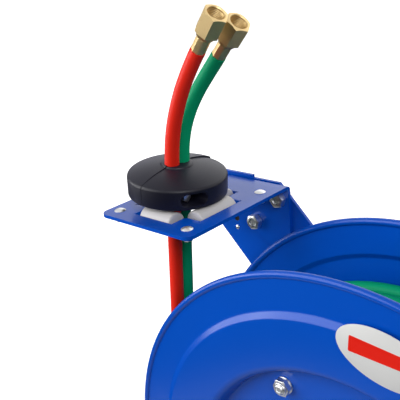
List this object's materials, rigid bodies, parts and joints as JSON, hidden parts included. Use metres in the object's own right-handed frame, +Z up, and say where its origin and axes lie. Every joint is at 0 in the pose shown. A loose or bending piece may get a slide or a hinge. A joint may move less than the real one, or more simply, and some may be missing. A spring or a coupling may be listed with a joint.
{
  "type": "welding hose reel",
  "caption": "Spring-return reel that stores twin gas welding hoses on a drum between stamped side discs, with a roller guide arm and a rubber hose stop.",
  "frame": {"origin": "centre of the four base bolt holes, on the underside of the base plate, below the middle of the drum", "axes": "+Y along the drum axis towards the post and the gas inlets, +Z up, X across the reel with the guide arm at -X"},
  "size_m": [0.4785, 0.253, 0.6288],
  "materials": {
    "blue_paint": "glossy royal-blue powder coat",
    "zinc_steel": "bright zinc plate",
    "dark_steel": "oiled plain steel",
    "brass_fitting": "bright turned brass",
    "bronze": "sintered bronze",
    "red_rubber": "smooth red hose cover",
    "green_rubber": "smooth green hose cover",
    "black_rubber": "moulded satin black rubber",
    "white_nylon": "satin white nylon",
    "label_white": null
  },
  "bodies": {
    "root": {"base_plate": "blue_paint", "post": "blue_paint", "main_shaft": "zinc_steel", "shaft_nuts": "zinc_steel", "shaft_spacer": "dark_steel", "guide_arm": "blue_paint", "arm_bolts": "zinc_steel", "arm_plug": "black_rubber", "arm_rivet": "zinc_steel", "roller_bracket": "blue_paint", "roller_frame": "blue_paint", "bracket_rivets": "zinc_steel", "bracket_bolts": "zinc_steel", "bracket_nuts": "zinc_steel", "roller_pins": "zinc_steel", "inlet_manifold": "brass_fitting", "oxygen_inlet": "brass_fitting", "fuel_inlet": "brass_fitting", "spring_arbor": "dark_steel", "pawl_pin": "zinc_steel", "bumper_half_outer": "black_rubber", "bumper_half_inner": "black_rubber", "bumper_bolts": "zinc_steel", "bumper_nuts": "zinc_steel", "red_hose_run": "red_rubber", "green_hose_run": "green_rubber", "red_hose_end": "red_rubber", "green_hose_end": "green_rubber", "red_ferrule": "brass_fitting", "green_ferrule": "brass_fitting"},
    "drum": {"front_disc": "blue_paint", "rear_disc": "blue_paint", "drum_barrel": "dark_steel", "disc_studs": "zinc_steel", "disc_nuts": "zinc_steel", "spring_case": "dark_steel", "spring_cover": "dark_steel", "power_spring": "dark_steel", "front_bearing": "bronze", "rear_bearing": "bronze", "swivel_rotor": "brass_fitting", "swivel_seals": "black_rubber", "outlet_pipes": "brass_fitting", "ratchet_wheel": "dark_steel", "red_winding": "red_rubber", "green_winding": "green_rubber", "label_plate": "label_white"},
    "roller_front_body": {"roller_front": "white_nylon"},
    "roller_rear_body": {"roller_rear": "white_nylon"},
    "roller_left_body": {"roller_left": "white_nylon"},
    "roller_right_body": {"roller_right": "white_nylon"},
    "pawl_body": {"pawl": "dark_steel", "pawl_spring": "zinc_steel"},
    "red_nut_body": {"red_union_nut": "brass_fitting"},
    "green_nut_body": {"green_union_nut": "brass_fitting"}
  },
  "joints": [
    {"name": "drum_spin", "type": "hinge", "parent": "root", "child": "drum", "pos_m": [0, 0, 0.25], "axis": [0, 1, 0], "continuous": true},
    {"name": "roller_front_spin", "type": "hinge", "parent": "root", "child": "roller_front_body", "pos_m": [-0.20346, -0.0382, 0.44948], "axis": [0.9954, 0, 0.0958], "continuous": true},
    {"name": "roller_rear_spin", "type": "hinge", "parent": "root", "child": "roller_rear_body", "pos_m": [-0.20346, 0.026, 0.44948], "axis": [0.9954, 0, 0.0958], "continuous": true},
    {"name": "roller_left_spin", "type": "hinge", "parent": "root", "child": "roller_left_body", "pos_m": [-0.23173, -0.0061, 0.44676], "axis": [0, 1, 0], "continuous": true},
    {"name": "roller_right_spin", "type": "hinge", "parent": "root", "child": "roller_right_body", "pos_m": [-0.17519, -0.0061, 0.4522], "axis": [0, 1, 0], "continuous": true},
    {"name": "pawl_swing", "type": "hinge", "parent": "root", "child": "pawl_body", "pos_m": [0, 0.0605, 0.312], "axis": [0, 1, 0], "range_deg": [0, 14], "stiffness_Nm_per_rad": 0.2},
    {"name": "red_nut_spin", "type": "hinge", "parent": "root", "child": "red_nut_body", "pos_m": [-0.16409, -0.01786, 0.61357], "axis": [0.5698, -0.0773, 0.8181], "continuous": true},
    {"name": "green_nut_spin", "type": "hinge", "parent": "root", "child": "green_nut_body", "pos_m": [-0.16131, 0.00408, 0.6052], "axis": [0.6228, -0.091, 0.777], "continuous": true}
  ]
}
